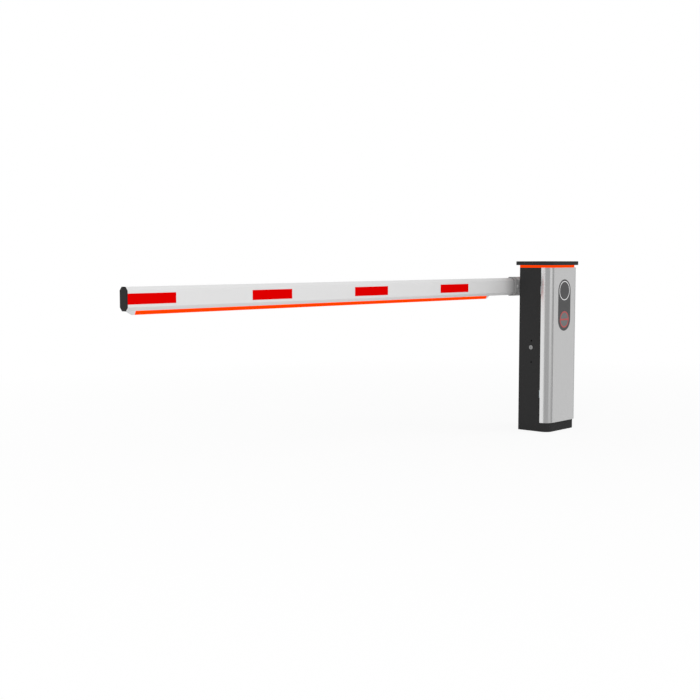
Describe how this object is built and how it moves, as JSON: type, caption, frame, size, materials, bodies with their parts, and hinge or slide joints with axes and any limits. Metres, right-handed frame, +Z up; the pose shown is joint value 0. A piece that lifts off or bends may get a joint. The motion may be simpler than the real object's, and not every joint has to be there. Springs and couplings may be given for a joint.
{
  "type": "boom barrier",
  "caption": "Road boom barrier: a slim upright cabinet with a hinged front door and a light ring under its cap, and a long octagonal boom that lifts behind it.",
  "frame": {"origin": "on the ground at the middle of the cabinet's base plate", "axes": "+Z up; the door looks along -Y; the lowered boom lies along -X behind the cabinet"},
  "size_m": [3.169, 0.3046, 0.9978],
  "materials": {
    "black_coating": "fine satin powder coating",
    "cap_coating": "fine satin powder coating",
    "orange_diffuser": "lit translucent acrylic",
    "orange_strip": "lit translucent strip",
    "strip_end_plastic": "moulded",
    "satin_aluminium": "satin anodised",
    "brushed_panel": "fine brushed",
    "window_acrylic": "dark acrylic",
    "red_reflector": "reflective film",
    "boom_coating": "white powder coating on an extrusion",
    "collar_coating": "grey powder coating",
    "black_plastic": "moulded",
    "zinc_steel": "zinc plated",
    "hinge_steel": "bright plated",
    "shaft_steel": "turned",
    "dark_screws": "black oxide",
    "lock_nickel": "nickel plated",
    "cast_aluminium": "die cast",
    "motor_paint": "painted",
    "control_grey": "moulded"
  },
  "bodies": {
    "cabinet": {"base_plate": "zinc_steel", "body_shell": "black_coating", "front_post_left": "black_coating", "front_post_right": "black_coating", "front_header": "black_coating", "front_sill": "black_coating", "top_frame": "black_coating", "light_ring": "orange_diffuser", "cap": "cap_coating", "release_lock": "lock_nickel", "drive_plate": "zinc_steel", "gearbox": "cast_aluminium", "motor": "motor_paint", "control_box": "control_grey", "control_lid": "control_grey", "bearing_flange": "cast_aluminium", "bearing_bolts": "zinc_steel", "hinge_upper_fixed": "hinge_steel", "hinge_lower_fixed": "hinge_steel"},
    "door": {"hinge_upper_moving": "hinge_steel", "hinge_lower_moving": "hinge_steel", "door_panel": "brushed_panel", "door_corner_left": "satin_aluminium", "door_corner_right": "satin_aluminium", "door_rail_top": "zinc_steel", "door_rail_bottom": "zinc_steel", "display_window": "window_acrylic"},
    "boom": {"drive_shaft": "shaft_steel", "boom_collar": "collar_coating", "collar_bolts": "dark_screws", "boom_profile": "boom_coating", "boom_end_cap": "black_plastic", "light_strip": "orange_strip", "strip_end_tip": "strip_end_plastic", "strip_end_root": "strip_end_plastic", "reflector_front_1": "red_reflector", "reflector_front_2": "red_reflector", "reflector_front_3": "red_reflector", "reflector_front_4": "red_reflector", "reflector_back_1": "red_reflector", "reflector_back_2": "red_reflector", "reflector_back_3": "red_reflector", "reflector_back_4": "red_reflector"}
  },
  "joints": [
    {"name": "boom_lift", "type": "hinge", "parent": "cabinet", "child": "boom", "pos_m": [0, 0.115, 0.85], "axis": [0, 1, 0], "range_deg": [0, 90]},
    {"name": "door_swing", "type": "hinge", "parent": "cabinet", "child": "door", "pos_m": [-0.156, -0.0485, 0.5], "axis": [0, 0, -1], "range_deg": [0, 110]}
  ]
}
